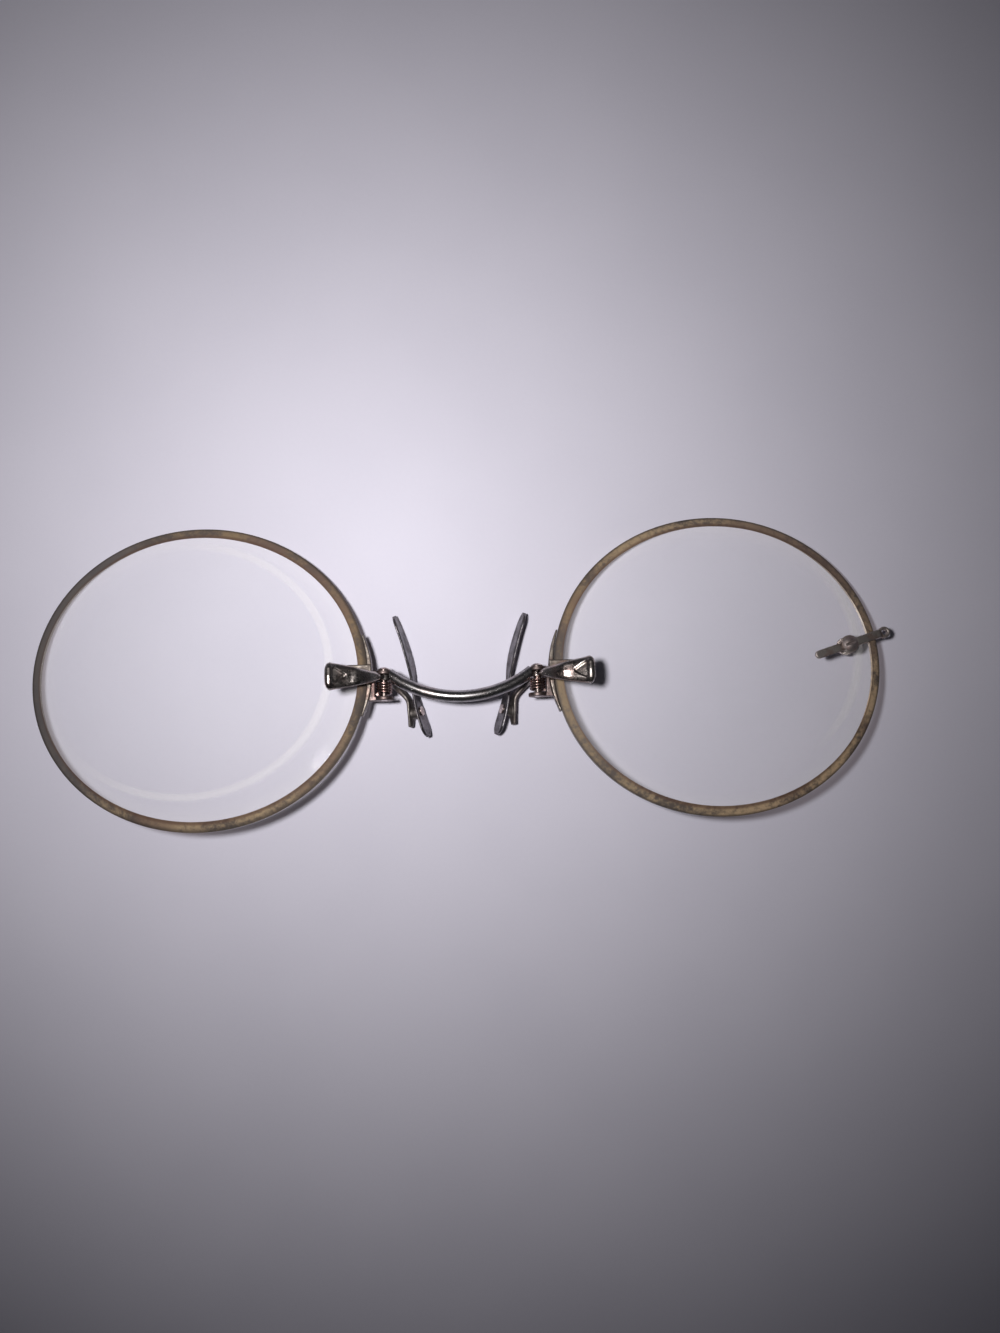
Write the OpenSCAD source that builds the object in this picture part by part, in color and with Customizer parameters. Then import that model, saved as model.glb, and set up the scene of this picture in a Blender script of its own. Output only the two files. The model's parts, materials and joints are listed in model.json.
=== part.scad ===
// Rimless finger-piece pince-nez: two drilled oval lenses, an arched bridge bar
// and two sprung levers, each with a finger piece in front of the lens and a nose
// guard behind it. Millimetres. Worked out flat in the lens plane, x across the
// nose, y along the lens height, z towards the viewer, then laid down as it rests:
// on the upper rims of both lenses and on the feet of both guards.

/* [Lenses] */
// Width of a lens
lens_w = 40; // [36:0.5:44]
// Height of a lens
lens_h = 37; // [33:0.5:41]
// Thickness at the middle of a lens
lens_t = 2.1; // [1.9:0.1:3]
// Radius of the domed front face, the back is flat
dome_r = 320; // [250:10:900]
// Width of the ground bevel, seen from the front
bevel_w = 0.9; // [0.3:0.05:1.2]
// Height of the ground bevel on each face
bevel_h = 0.4; // [0.2:0.05:0.5]
// Distance between the two lenses at the nose
lens_gap = 22.7; // [20:0.1:26]
// How far the lens middle lies above the line of the straps
lens_rise = 0.25; // [0:0.05:1]

/* [Straps] */
// Distance of the drilled hole from the rim
hole_in = 2.1; // [1.7:0.1:3]
// Diameter of the screw that clamps the lens
strap_screw_d = 1.2; // [0.9:0.05:1.4]
// Diameter of the screw heads on the lenses
strap_head_d = 1.9; // [1.6:0.1:2.4]
// Width of the ears that grip the lens
ear_w = 2.3; // [2:0.1:3]
// Thickness of the ears
ear_t = 0.5; // [0.35:0.05:0.7]
// Length of the shoe that follows the rim
shoe_l = 10; // [6:0.5:12]
// Thickness of the shoe at its middle
shoe_t = 0.6; // [0.4:0.05:0.8]
// Thickness of the shoe at its two tips
shoe_tip_t = 0.2; // [0.15:0.05:0.4]

/* [Bridge] */
// Diameter of the bridge bar
bridge_d = 1.45; // [1.1:0.05:1.8]
// How far the middle of the arch lies below the line of the straps
bridge_drop = 3; // [2:0.1:4.5]
// Height over that line at which the arch runs into the pivots
bridge_rise = 0.6; // [0.3:0.1:1]
// Lean of the arch towards the viewer
bridge_lean = 18; // [0:1:30]

/* [Pivots] */
// Distance of a pivot from the lens rim
pivot_in = 2.05; // [2:0.05:2.6]
// Diameter of the pivot screw
pivot_d = 0.9; // [0.7:0.05:1]
// Outer diameter of the lever's knuckle
knuckle_d = 1.9; // [1.7:0.05:1.95]
// Height of the lever's knuckle
knuckle_h = 0.72; // [0.6:0.02:1]
// Diameter of the pivot screw's head
pivot_head_d = 1.5; // [1.2:0.1:1.9]
// Thickness of the plates of a spring box
plate_t = 0.45; // [0.35:0.05:0.6]
// Diameter of the plates of a spring box
plate_d = 2.3; // [2.15:0.05:2.5]

/* [Springs] */
// Diameter of the spring wire
wire_d = 0.24; // [0.18:0.01:0.28]
// Diameter of a spring, measured between wire middles
coil_d = 1.62; // [1.4:0.02:1.66]
// Number of curls
curls = 2; // [1:1:3]
// Rise of each curl
curl_rise = 0.7; // [0.68:0.02:0.9]

/* [Finger pieces] */
// How far a finger piece reaches out from its pivot
finger_out = 6.6; // [5.5:0.1:8]
// Height of the finger piece's end over the lens back
finger_up = 4.9; // [4.4:0.1:6.5]
// Width of the finger piece at its end
finger_w = 3.4; // [2.6:0.1:4.2]
// Thickness of the finger piece at its end
finger_t = 1.7; // [1.2:0.1:2.2]
// Width of the finger piece's neck
neck_w = 2.2; // [1.8:0.1:2.4]
// Depth of the three-cornered dish in the finger piece
dish_depth = 0.3; // [0.15:0.05:0.5]

/* [Guards] */
// Length of a guard above the line of the straps
guard_up = 7.6; // [5.5:0.1:8.6]
// Length of a guard below the line of the straps
guard_down = 7.2; // [6.2:0.1:8.4]
// Distance from the pivot in to the guard's head
head_in = 1.2; // [0.8:0.1:2]
// Distance from the pivot in to the guard's waist
waist_in = 3.4; // [2.8:0.1:4]
// Distance from the pivot in to the guard's foot
foot_in = 5.1; // [4.5:0.1:6]
// Depth of the guard's head behind the lens back
head_depth = 0.8; // [0.4:0.1:1.4]
// Depth of the guard's foot behind the lens back
foot_depth = 3.5; // [3:0.1:4.2]
// Width of a guard at its head and its foot
guard_w = 2.7; // [2:0.1:3.4]
// Width of a guard at its waist
waist_w = 1.3; // [1.2:0.1:2]
// Thickness of a guard
guard_t = 0.5; // [0.4:0.05:0.8]
// Turn of the guard's head towards the viewer
head_turn = 15; // [0:1:20]
// Turn of the guard's foot towards the viewer
foot_turn = 24; // [5:1:30]
// Diameter of the rivet that holds a guard
rivet_d = 0.7; // [0.5:0.05:0.8]
// Distance of the rivet below the line of the straps
rivet_down = 4.1; // [3.4:0.1:4.8]
// Width of the lever's tab that carries a guard
tab_w = 1.9; // [1.5:0.1:2.2]
// Thickness of the tab
tab_t = 0.5; // [0.35:0.05:0.6]
// Length of the boss between tab and guard
boss_l = 0.7; // [0.3:0.05:0.9]

/* [Chain handle] */
// Place of the handle, degrees up the rim from the lens middle
handle_place = 9.4; // [0:0.2:20]
// Direction of the handle, degrees
handle_lean = 17.8; // [8:0.2:25]
// Distance of the handle's drilled hole from the rim
handle_hole_in = 3.7; // [2.5:0.1:4.5]
// Length of the bar past the screw, towards the lens middle
handle_tail = 4.1; // [2:0.1:5]
// Width of the bar
handle_w = 1; // [0.8:0.1:1.4]
// Length of the neck between the rim and the eye
eye_neck = 0.6; // [0.2:0.05:1]
// Diameter of the eye for the chain
eye_d = 1.4; // [1.2:0.1:2.2]
// Diameter of the hole in the eye
eye_hole_d = 0.7; // [0.5:0.05:0.8]

/* [Fits] */
// Gap between a lens and the metal that grips it
lens_clear = 0.05; // [0.03:0.01:0.1]
// Radial gap of a knuckle on its pivot screw
pivot_clear = 0.05; // [0.03:0.01:0.08]
// Gap at each end of a knuckle
end_play = 0.05; // [0.03:0.01:0.1]
// Radial gap of a screw or rivet in its own thread or hole
thread_clear = 0.01; // [0.01:0.01:0.03]
// Radial gap of a screw in the lens and the front ear
hole_clear = 0.08; // [0.05:0.01:0.15]
// Gap of a soldered seam
seam = 0.01; // [0.01:0.01:0.02]

/* [Hidden] */
$fn = 48;
outline_points = 120;
ring_points = 12;
dome_points = 2400;
rings_per_curl = 8;
wire_sides = 6;
least_spring_gap = 0.4;
// How square the corners of a rounded cross-section are, 1 is an oval
corner_power = 0.75;

lens_x = (lens_gap + lens_w) / 2;
hole_x = lens_gap / 2 + hole_in;
edge_t = lens_t - pow(lens_w / 2, 2) / (2 * dome_r);
head_h = 0.5;
crown_share = 0.7;
slot_w = 0.3;
slot_depth = 0.2;

pivot_x = lens_gap / 2 - pivot_in;
pivot_z = 0.9;
box_room = knuckle_h + 2 * end_play + curls * curl_rise + 2 * wire_d;
plate_top = plate_t;
plate_low = -box_room - plate_t;
box_depth = 1.4;
box_back = pivot_z - box_depth / 2;
wall_gap = 0.1;
knuckle_top = -end_play;
knuckle_low = knuckle_top - knuckle_h;
knuckle_mid = (knuckle_top + knuckle_low) / 2;

// Height of the domed face over the flat back, at a distance from the lens middle
function dome_z(r) = lens_t - dome_r + sqrt(dome_r * dome_r - r * r);

// Oval outline of a lens, grown or shrunk by a distance
function outline(grow) = [for (i = [0 : outline_points - 1]) let (a = 360 * i / outline_points)
    [(lens_w / 2 + grow) * cos(a), (lens_h / 2 + grow) * sin(a)]];

// Smooth curve through rows of numbers: place, sizes and directions change together
function curve_at(rows, u) =
    let (last = len(rows) - 1, k = min(floor(u), last - 1), f = u - k,
         a = rows[max(k - 1, 0)], b = rows[k], c = rows[k + 1], d = rows[min(k + 2, last)])
    b + 0.5 * f * ((c - a) + f * ((2 * a - 5 * b + 4 * c - d) + f * (3 * (b - c) + d - a)));

function place_of(row) = [row[0], row[1], row[2]];
function unit(v) = v / norm(v);
function rounded(c) = sign(c) * pow(abs(c), corner_power);

// One rounded cross-section: a row holds a place, a width, a thickness and the width's direction
function section(row, run) =
    let (aim = [row[5], row[6], row[7]],
         across = unit(aim - (aim * run) * run),
         thick = cross(run, across))
    [for (i = [0 : ring_points - 1]) let (a = 360 * i / ring_points)
        place_of(row) + across * row[3] / 2 * rounded(cos(a)) + thick * row[4] / 2 * rounded(sin(a))];

// Sections along a list of rows, each square to the way the rows run
function sections(rows) = [for (i = [0 : len(rows) - 1])
    section(rows[i], unit(place_of(rows[min(i + 1, len(rows) - 1)]) - place_of(rows[max(i - 1, 0)])))];

function smooth_rows(rows, steps) = [for (i = [0 : steps]) curve_at(rows, i * (len(rows) - 1) / steps)];

// Closed skin over a list of rings that hold the same number of points
module skin(rings) {
    n = len(rings[0]);
    polyhedron(
        points = [for (ring = rings) each ring],
        faces = concat(
            [[for (j = [0 : n - 1]) j]],
            [for (i = [0 : len(rings) - 2], j = [0 : n - 1])
                [i * n + j, (i + 1) * n + j, i * n + (j + 1) % n]],
            [for (i = [0 : len(rings) - 2], j = [0 : n - 1])
                [i * n + (j + 1) % n, (i + 1) * n + j, (i + 1) * n + (j + 1) % n]],
            [[for (j = [n - 1 : -1 : 0]) (len(rings) - 1) * n + j]]),
        convexity = 4);
}

// Guard: its rows run from the head down to the foot
guard_rows_n = 22;
waist_y = -0.9;
waist_reach = 2.2;
head_bend = 1.6;
foot_bend = 1.3;
least_end = 0.3;
function in_from_pivot(y) = y > waist_y
    ? waist_in - (waist_in - head_in) * pow((y - waist_y) / (guard_up - waist_y), head_bend)
    : waist_in + (foot_in - waist_in) * pow((waist_y - y) / (guard_down + waist_y), foot_bend);
function share_down(y) = (guard_up - y) / (guard_up + guard_down);
function guard_x(y) = pivot_x - in_from_pivot(y);
function guard_z(y) = -head_depth - (foot_depth - head_depth) * share_down(y);
function guard_turn(y) = head_turn + (foot_turn - head_turn) * share_down(y);
function end_round(gap) = gap >= guard_w / 2 ? 1
    : max(least_end, sqrt(1 - pow(1 - 2 * gap / guard_w, 2)));
function guard_width(y) = end_round(min(guard_up - y, y + guard_down))
    * (guard_w - (guard_w - waist_w) * exp(-pow((y - waist_y) / waist_reach, 2)));
function guard_row(y) = let (turn = guard_turn(y))
    [guard_x(y), y, guard_z(y), guard_width(y), guard_t, sin(turn), 0, cos(turn)];
guard_rows = [for (i = [0 : guard_rows_n])
    guard_row((guard_up - guard_down) / 2 + (guard_up + guard_down) / 2 * cos(180 * i / guard_rows_n))];
guard_sections = sections(guard_rows);

// Square way out of the guard's back face at the rivet, and distances along it
face_gap = 0.02;
rivet_row = guard_row(-rivet_down);
rivet_at = place_of(rivet_row);
rivet_run = unit(place_of(guard_row(-rivet_down - 0.1)) - rivet_at);
rivet_out = unit(cross([rivet_row[5], 0, rivet_row[7]], rivet_run));
boss_start = guard_t / 2 + face_gap;
tab_middle = boss_start + boss_l + tab_t / 2;
tab_face = tab_middle + tab_t / 2;
rivet_head_t = 0.2;
rivet_head_d = rivet_d + 0.5;
rivet_crown_share = 0.65;
rivet_boss_d = rivet_d + 0.7;
guard_dish = 0.12;
guard_dish_share = 0.72;

// The flat rims of both lenses and the feet of both guards touch one level
rim_y = lens_h / 2 - bevel_w + lens_rise;
rest_tilt = max([for (ring = guard_sections) for (p = ring) atan2(-p[2], rim_y - p[1])]);
eye_x = handle_hole_in + lens_clear + eye_neck + eye_d / 2;
handle_end = eye_x + eye_d / 2;
rim_turn = [cos(handle_place) * lens_w / 2, sin(handle_place) * lens_h / 2];
handle_hole = rim_turn - handle_hole_in * [cos(handle_lean), sin(handle_lean)];
handle_far_x = lens_x + handle_hole[0] + handle_end * cos(handle_lean)
    + (1 - cos(handle_lean)) * eye_d / 2;
overhang = max(0, handle_far_x - lens_x - lens_w / 2);

module resting() {
    translate([-overhang / 2,
               -lens_rise * cos(rest_tilt) - edge_t / 2 * sin(rest_tilt),
               rim_y * sin(rest_tilt)])
        rotate([-rest_tilt, 0, 0]) children();
}

module on_side(side) {
    resting() mirror([side < 0 ? 1 : 0, 0, 0]) children();
}

module at_lens() {
    translate([lens_x, lens_rise, 0]) children();
}

// Extrusion along y of an outline drawn in x and z
module upright(low, high) {
    translate([0, high, 0]) rotate([90, 0, 0]) linear_extrude(high - low) children();
}

module outline_slab(grow, low, high) {
    translate([0, 0, low]) linear_extrude(high - low) polygon(outline(grow));
}

// Everything inside a shoe's outer face, which runs from its middle down to thin tips
function shoe_share(y) = 1 - pow(min(1, abs(y + lens_rise) / (shoe_l / 2)), 2);
function shoe_grow(y) = lens_clear + shoe_tip_t + (shoe_t - shoe_tip_t) * shoe_share(y);
module shoe_slab(extra, low, high) {
    translate([0, 0, low]) linear_extrude(high - low)
        polygon([for (i = [0 : outline_points - 1])
            let (a = 360 * i / outline_points, grow = shoe_grow(lens_h / 2 * sin(a)) + extra)
            [(lens_w / 2 + grow) * cos(a), (lens_h / 2 + grow) * sin(a)]]);
}

// Everything under the domed face
module under_dome(clear) {
    rotate_extrude($fn = outline_points) intersection() {
        translate([0, lens_t + clear - dome_r]) circle(dome_r, $fn = dome_points);
        translate([0, -lens_t]) square([lens_w, 3 * lens_t]);
    }
}

// The room of a lens with the gap that its metal keeps from it
module lens_room() {
    at_lens() intersection() {
        outline_slab(lens_clear, -lens_clear, 2 * lens_t);
        under_dome(lens_clear);
    }
}

module lens_blank() {
    thin = 0.01;
    rise = lens_t - edge_t + 2 * bevel_h;
    intersection() {
        hull() {
            outline_slab(-bevel_w, 0, thin);
            outline_slab(0, bevel_h, edge_t - bevel_h);
            outline_slab(-bevel_w * rise / bevel_h, lens_t + bevel_h - thin, lens_t + bevel_h);
        }
        under_dome(0);
    }
}

module screw_hole(d) {
    translate([0, 0, -lens_t]) cylinder(d = d, h = 4 * lens_t);
}

// Screw with a slotted round head, its head standing on a seat
module slotted_screw(d, head_d, seat, low) {
    crown_r = head_d * crown_share;
    difference() {
        union() {
            translate([0, 0, low]) cylinder(d = d, h = seat - low);
            translate([0, 0, seat]) intersection() {
                cylinder(d = head_d, h = head_h);
                translate([0, 0, head_h - crown_r]) sphere(crown_r);
            }
        }
        translate([-head_d, -slot_w / 2, seat + head_h - slot_depth]) cube([2 * head_d, slot_w, head_h]);
    }
}

module lens(with_handle) {
    color([0.87, 0.88, 0.92, 0.35]) difference() {
        at_lens() lens_blank();
        translate([hole_x, 0, 0]) screw_hole(strap_screw_d + 2 * hole_clear);
        if (with_handle) at_handle() screw_hole(strap_screw_d + 2 * hole_clear);
    }
}

// Front ear, edge shoe and back ear that hold one lens
ear_top = dome_z(lens_w / 2 - hole_in) + lens_clear + ear_t;
ear_low = -lens_clear - ear_t;
module strap() {
    color([0.62, 0.55, 0.49]) difference() {
        intersection() {
            at_lens() shoe_slab(0, ear_low, ear_top);
            union() {
                translate([0, -shoe_l / 2, 0]) cube([lens_x - lens_w / 4, shoe_l, edge_t]);
                translate([hole_x, 0, ear_low]) cylinder(d = ear_w, h = ear_top - ear_low);
                translate([0, -ear_w / 2, ear_low]) cube([hole_x, ear_w, ear_top - ear_low]);
            }
        }
        lens_room();
        translate([hole_x, 0, 0]) cylinder(d = strap_screw_d + 2 * hole_clear, h = 4 * lens_t);
        translate([hole_x, 0, 0]) screw_hole(strap_screw_d + 2 * thread_clear);
    }
}

module strap_screw() {
    color([0.7, 0.66, 0.6]) translate([hole_x, 0, 0])
        slotted_screw(strap_screw_d, strap_head_d, ear_top, ear_low);
}

// Arched bar between the two spring boxes
arch_sag = (bridge_drop + bridge_rise) / cos(bridge_lean);
arch_r = (pivot_x * pivot_x + arch_sag * arch_sag) / (2 * arch_sag);
arch_half = asin(pivot_x / arch_r);
module bridge() {
    color([0.66, 0.6, 0.55]) difference() {
        translate([0, bridge_rise, pivot_z]) rotate([-bridge_lean, 0, 0])
            translate([0, arch_r - arch_sag, 0]) rotate(270 - arch_half)
                rotate_extrude(angle = 2 * arch_half, $fn = 96)
                    translate([arch_r, 0]) circle(d = bridge_d);
        for (x = [-pivot_x, pivot_x])
            upright(plate_low, plate_top + bridge_d)
                translate([x, pivot_z]) circle(d = plate_d + 2 * seam);
    }
}

// Two plates and a wall, soldered to the shoe, that carry the pivot screw
module spring_box() {
    wall_x = pivot_x + knuckle_d / 2 + wall_gap;
    color([0.6, 0.53, 0.48]) difference() {
        union() {
            for (low = [plate_low, 0]) upright(low, low + plate_t) {
                translate([pivot_x, pivot_z]) circle(d = plate_d);
                translate([pivot_x, box_back]) square([pivot_in, box_depth]);
            }
            upright(plate_low, plate_top) translate([wall_x, box_back])
                square([lens_gap / 2 - wall_x, box_depth]);
        }
        at_lens() shoe_slab(seam, -lens_t, 2 * lens_t);
        upright(plate_low - plate_t, plate_top + plate_t)
            translate([pivot_x, pivot_z]) circle(d = pivot_d + 2 * thread_clear);
    }
}

module pivot_screw() {
    color([0.72, 0.68, 0.62]) translate([pivot_x, 0, pivot_z]) rotate([-90, 0, 0])
        slotted_screw(pivot_d, pivot_head_d, plate_top, plate_low);
}

// Torsion spring: one wire whose ends stand square on the lower plate and the knuckle
spring_low = -box_room;
spring_high = knuckle_low - end_play;
function coil_point(a) =
    [coil_d / 2 * cos(a), spring_low + wire_d + curl_rise * a / 360, coil_d / 2 * sin(a)];
wire_path = concat(
    [[coil_d / 2, spring_low, 0]],
    [for (i = [0 : curls * rings_per_curl]) coil_point(360 * i / rings_per_curl)],
    [[coil_d / 2, spring_high, 0]]);
function wire_ring(i) =
    let (p = wire_path[i], out = unit([p[0], 0, p[2]]), last = len(wire_path) - 1,
         run = i == 0 || i == last ? [0, 1, 0] : unit(wire_path[i + 1] - wire_path[i - 1]),
         side = unit(cross(run, out)))
    [for (j = [0 : wire_sides - 1]) let (b = 360 * j / wire_sides)
        p + wire_d / 2 * (out * cos(b) + side * sin(b))];
wire_rings = [for (i = [0 : len(wire_path) - 1]) wire_ring(i)];
spring_gap = min([for (i = [0 : len(wire_rings) - 1]) for (k = [i + 4 : 1 : len(wire_rings) - 1])
    for (p = wire_rings[i]) for (q = wire_rings[k]) norm(p - q)]);
echo(least_gap_in_spring = spring_gap, wanted_over = least_spring_gap);

module coil_spring() {
    color([0.55, 0.45, 0.42]) translate([pivot_x, 0, pivot_z]) skin(wire_rings);
}

// Arm that rises over the strap and widens into the finger piece. Each row holds
// the middle's x, y and z, a width, a thickness and the direction of the width
dish_start = 3.9;
dish_base = finger_out - 1.05;
finger_base_t = 0.75 * finger_t;
finger_y = knuckle_mid - 0.2;
finger_steps = 28;
finger_rows = [
    [pivot_x + 0.1, knuckle_mid, pivot_z + 0.4, 0.9 * knuckle_h, 0.8, 0, 1, 0],
    [pivot_x + 0.5, knuckle_mid, pivot_z + 1.15, 0.9 * knuckle_h, 0.8, 0, 1, 0],
    [pivot_x + 0.85, knuckle_mid - 0.04, pivot_z + 1.75, neck_w - 1.1, 0.8, 0, 1, 0],
    [pivot_x + 1.7, finger_y + 0.05, pivot_z + 2.5, neck_w - 0.6, 0.85, 0, 1, 0],
    [pivot_x + 2.9, finger_y, finger_up - 0.8, neck_w, 1.05, 0, 1, 0],
    [pivot_x + dish_start, finger_y, finger_up - 0.5, neck_w + 0.4, 0.9, 0, 1, 0],
    [pivot_x + dish_base, finger_y, finger_up - 0.1, finger_w - 0.2, finger_base_t, 0, 1, 0],
    [pivot_x + finger_out - 0.55, finger_y, finger_up, finger_w, finger_t, 0, 1, 0],
    [pivot_x + finger_out - 0.2, finger_y, finger_up, finger_w - 0.5, finger_t - 0.15, 0, 1, 0],
    [pivot_x + finger_out, finger_y, finger_up, finger_w - 1.4, finger_t - 0.6, 0, 1, 0]];

// Arm that runs behind the lens plane and ends in the tab that the guard is riveted to
arm_steps = 24;
tab_at = rivet_at + rivet_out * tab_middle;
tab_aim = -[rivet_row[5], 0, rivet_row[7]];
arm_rows = [
    [pivot_x - 0.1, knuckle_mid - 0.04, pivot_z - 0.4, 0.8 * knuckle_h, 0.8, 0, 1, 0],
    [pivot_x - 0.3, knuckle_mid - 0.08, pivot_z - 1.7, 0.85 * knuckle_h, 0.75, 0, 1, 0],
    [pivot_x - 1.4, knuckle_mid - 0.8, -2.4, 0.9, 0.7, 0, 1, -0.6],
    concat([tab_at[0] + 0.3, 1.5 - rivet_down, tab_at[2] + 0.35, tab_w - 0.4, tab_t + 0.1], tab_aim),
    concat(tab_at, [tab_w, tab_t], tab_aim),
    concat([tab_at[0] + 0.1, -rivet_down - 1.9, tab_at[2] - 0.05, 0.5 * tab_w, tab_t], tab_aim)];

// From the rivet's middle, z out of the guard's back face
module at_rivet() {
    translate(rivet_at) rotate([0, acos(rivet_out[2]), atan2(rivet_out[1], rivet_out[0])]) children();
}

module finger_lever() {
    dish_slope = 19;
    corner_d = 0.5;
    corner_in = 1;
    face_z = finger_up - 0.1 + finger_base_t / 2;
    color([0.64, 0.57, 0.52]) difference() {
        union() {
            upright(knuckle_low, knuckle_top) translate([pivot_x, pivot_z]) circle(d = knuckle_d);
            skin(sections(smooth_rows(finger_rows, finger_steps)));
            skin(sections(smooth_rows(arm_rows, arm_steps)));
            at_rivet() translate([0, 0, boss_start]) cylinder(d = rivet_boss_d, h = boss_l + tab_t / 2);
        }
        upright(knuckle_low - knuckle_h, knuckle_top + knuckle_h)
            translate([pivot_x, pivot_z]) circle(d = pivot_d + 2 * pivot_clear);
        translate([pivot_x + dish_base, finger_y, face_z - dish_depth])
            rotate([0, -dish_slope, 0]) hull() {
                for (y = [-1, 1]) translate([0, y * (finger_w / 2 - corner_in), 0])
                    cylinder(d = corner_d, h = finger_t, $fn = 32);
                translate([dish_start - dish_base + corner_d, 0, 0])
                    cylinder(d = corner_d, h = finger_t, $fn = 32);
            }
        at_rivet() {
            cylinder(d = rivet_d + 2 * thread_clear, h = 2 * tab_face);
            translate([0, 0, tab_face - face_gap])
                cylinder(d = rivet_head_d + 2 * hole_clear, h = tab_face);
        }
    }
}

// Bearing plate for one side of the nose, its face dished inside a raised rim
module guard() {
    dish_rows = [for (i = [2 : guard_rows_n - 2]) let (row = guard_rows[i], turn = guard_turn(row[1]))
        [row[0] - cos(turn) * guard_t / 2, row[1], row[2] + sin(turn) * guard_t / 2,
         guard_dish_share * row[3], 2 * guard_dish, row[5], row[6], row[7]]];
    color([0.58, 0.53, 0.5]) difference() {
        skin(guard_sections);
        skin(sections(dish_rows));
        at_rivet() translate([0, 0, -guard_t]) cylinder(d = rivet_d + 2 * thread_clear, h = 2 * guard_t);
    }
}

module guard_rivet() {
    inner = -guard_t / 2 + guard_dish;
    rivet_crown_r = rivet_head_d * rivet_crown_share;
    color([0.75, 0.71, 0.66]) at_rivet() {
        translate([0, 0, inner - rivet_head_t]) cylinder(d = rivet_head_d, h = rivet_head_t - face_gap);
        translate([0, 0, inner - rivet_head_t])
            cylinder(d = rivet_d, h = tab_face - inner + rivet_head_t);
        translate([0, 0, tab_face]) intersection() {
            cylinder(d = rivet_head_d, h = rivet_head_t);
            translate([0, 0, rivet_head_t - rivet_crown_r]) sphere(rivet_crown_r);
        }
    }
}

// From the handle's drilled hole, x out along the bar
module at_handle() {
    at_lens() translate(handle_hole) rotate(handle_lean) children();
}

handle_r = norm(handle_hole);
bar_t = 0.5;
eye_t = 0.8;
web_t = 0.4;
boss_d = strap_head_d + 0.3;
seat_cut = 0.06;
handle_seat = dome_z(handle_r) + lens_clear + bar_t - seat_cut;
module chain_handle() {
    web_end = handle_hole_in + lens_clear + web_t;
    color([0.5, 0.46, 0.42]) difference() {
        intersection() {
            at_lens() under_dome(lens_clear + bar_t);
            at_handle() {
                translate([0, 0, edge_t / 2]) linear_extrude(lens_t) {
                    translate([-handle_tail, 0]) circle(d = handle_w);
                    translate([-handle_tail, -handle_w / 2]) square([handle_tail, handle_w]);
                }
                translate([0, 0, ear_low]) cylinder(d = boss_d, h = 2 * lens_t);
                translate([0, -handle_w / 2, ear_low]) cube([web_end, handle_w, 2 * lens_t]);
                translate([0, -handle_w / 2, (edge_t - eye_t) / 2]) cube([eye_x, handle_w, eye_t]);
                translate([eye_x, 0, (edge_t - eye_t) / 2]) cylinder(d = eye_d, h = eye_t);
            }
        }
        lens_room();
        at_handle() {
            translate([eye_x, 0, 0]) screw_hole(eye_hole_d);
            screw_hole(strap_screw_d + 2 * thread_clear);
            cylinder(d = strap_screw_d + 2 * hole_clear, h = 4 * lens_t);
            translate([0, 0, handle_seat]) cylinder(d = boss_d + 2 * hole_clear, h = bar_t);
        }
    }
}

module chain_handle_screw() {
    color([0.72, 0.68, 0.62]) at_handle()
        slotted_screw(strap_screw_d, strap_head_d, handle_seat, ear_low);
}

on_side(-1) lens(false);  // lens_left
on_side(1) lens(true);  // lens_right
on_side(-1) strap();  // strap_left
on_side(1) strap();  // strap_right
on_side(-1) strap_screw();  // strap_screw_left
on_side(1) strap_screw();  // strap_screw_right
resting() bridge();
on_side(-1) spring_box();  // spring_box_left
on_side(1) spring_box();  // spring_box_right
on_side(-1) pivot_screw();  // pivot_screw_left
on_side(1) pivot_screw();  // pivot_screw_right
on_side(-1) coil_spring();  // coil_spring_left
on_side(1) coil_spring();  // coil_spring_right
on_side(-1) finger_lever();  // finger_lever_left
on_side(1) finger_lever();  // finger_lever_right
on_side(-1) guard();  // guard_left
on_side(1) guard();  // guard_right
on_side(-1) guard_rivet();  // guard_rivet_left
on_side(1) guard_rivet();  // guard_rivet_right
on_side(1) chain_handle();
on_side(1) chain_handle_screw();
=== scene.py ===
import json
import math

import bmesh
import bpy
from mathutils import Matrix, Vector


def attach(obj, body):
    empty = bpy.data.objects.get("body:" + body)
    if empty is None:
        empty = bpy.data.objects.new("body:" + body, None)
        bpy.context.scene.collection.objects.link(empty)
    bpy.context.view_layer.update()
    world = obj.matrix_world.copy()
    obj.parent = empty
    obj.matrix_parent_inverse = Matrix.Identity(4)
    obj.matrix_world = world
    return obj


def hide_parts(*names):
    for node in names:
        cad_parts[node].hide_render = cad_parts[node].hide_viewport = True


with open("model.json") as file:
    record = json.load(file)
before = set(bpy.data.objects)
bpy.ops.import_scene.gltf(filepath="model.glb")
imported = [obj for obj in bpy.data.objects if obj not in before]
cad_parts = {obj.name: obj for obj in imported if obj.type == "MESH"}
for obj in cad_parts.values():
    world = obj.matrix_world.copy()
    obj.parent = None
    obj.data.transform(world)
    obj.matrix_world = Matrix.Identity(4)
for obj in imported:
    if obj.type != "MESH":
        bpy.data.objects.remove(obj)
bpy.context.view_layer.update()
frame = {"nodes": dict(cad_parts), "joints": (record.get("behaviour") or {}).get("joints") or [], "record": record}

mm = 0.001
mergeGap = 1e-5    # millimetres between vertices that are joined to one
sideWords = {-1: "left", 1: "right"}
bodyOf = {node: body for body, group in frame["record"]["behaviour"]["bodies"].items()
          for node in group}
scene = bpy.context.scene

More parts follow.
